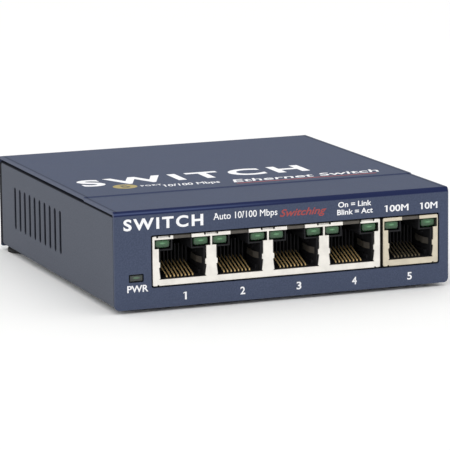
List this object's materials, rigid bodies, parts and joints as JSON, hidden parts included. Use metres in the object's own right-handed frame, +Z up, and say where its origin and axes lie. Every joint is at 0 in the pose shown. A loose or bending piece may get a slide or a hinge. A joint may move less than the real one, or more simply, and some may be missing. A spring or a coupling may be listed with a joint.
{
  "type": "desktop network switch",
  "caption": "Small desktop network switch: stepped sheet-metal cover over a vented tray, a row of shielded cable jacks with built-in lights in front, power jack and push button behind.",
  "frame": {"origin": "on the surface it stands on, under the middle of the bounding box", "axes": "+Z up, the front panel with the jacks faces -Y, +X to the right seen from the front"},
  "size_m": [0.094, 0.1018, 0.027],
  "materials": {
    "painted_steel": "slate blue powder coat, satin",
    "foot_rubber": "black rubber, matte",
    "label_paper": "pale satin film, blank",
    "board_laminate": "green solder mask",
    "screw_zinc": "zinc plated",
    "block_shield_metal": "bright tin plate",
    "single_shield_metal": "warm tin plate",
    "jack_plastic": "black moulded plastic",
    "contact_gold": "gold plated wire",
    "light_green": "clear green lens, unlit",
    "power_lens_green": "dull green lens, unlit",
    "power_led_green": "green light body",
    "power_jack_plastic": "black moulded plastic",
    "power_jack_plating": "nickel plated brass",
    "switch_plastic": "black moulded plastic",
    "button_plastic": "black moulded plastic, satin",
    "spring_steel": "spring wire",
    "chip_resin": "black epoxy package",
    "heat_sink_black": "dark anodised fins",
    "transformer_resin": "black epoxy package",
    "crystal_can": "drawn metal can",
    "inductor_ferrite": "grey ferrite drum",
    "capacitor_sleeve": "dark shrink sleeve"
  },
  "bodies": {
    "case": {"cover": "painted_steel", "base": "painted_steel", "foot_front_left": "foot_rubber", "foot_front_right": "foot_rubber", "foot_rear_left": "foot_rubber", "foot_rear_right": "foot_rubber", "rating_label": "label_paper", "circuit_board": "board_laminate", "board_screw_front_left": "screw_zinc", "board_screw_front_right": "screw_zinc", "board_screw_rear_left": "screw_zinc", "board_screw_rear_right": "screw_zinc", "cover_screw_left": "screw_zinc", "cover_screw_right": "screw_zinc", "jack_block_shield": "block_shield_metal", "jack_5_shield": "single_shield_metal", "jack_block_housing": "jack_plastic", "jack_5_housing": "jack_plastic", "port_1_contacts": "contact_gold", "port_2_contacts": "contact_gold", "port_3_contacts": "contact_gold", "port_4_contacts": "contact_gold", "port_5_contacts": "contact_gold", "port_1_light_left": "light_green", "port_1_light_right": "light_green", "port_2_light_left": "light_green", "port_2_light_right": "light_green", "port_3_light_left": "light_green", "port_3_light_right": "light_green", "port_4_light_left": "light_green", "port_4_light_right": "light_green", "port_5_light_left": "light_green", "port_5_light_right": "light_green", "power_light_pipe": "power_lens_green", "power_light": "power_led_green", "power_jack_body": "power_jack_plastic", "power_jack_pin": "power_jack_plating", "power_jack_spring": "power_jack_plating", "uplink_switch_body": "switch_plastic", "uplink_spring": "spring_steel", "switch_chip": "chip_resin", "voltage_regulator": "chip_resin", "heat_sink": "heat_sink_black", "line_transformer_1_2": "transformer_resin", "line_transformer_3_4": "transformer_resin", "line_transformer_5": "transformer_resin", "crystal": "crystal_can", "power_inductor": "inductor_ferrite", "input_capacitor": "capacitor_sleeve", "output_capacitor": "capacitor_sleeve", "bulk_capacitor": "capacitor_sleeve"},
    "button": {"uplink_button": "button_plastic"}
  },
  "joints": [
    {"name": "button_press", "type": "slide", "parent": "case", "child": "button", "axis": [0, -1, 0], "range_m": [0, 0.0016], "stiffness_N_per_m": 400, "springref_m": -0.0005}
  ]
}
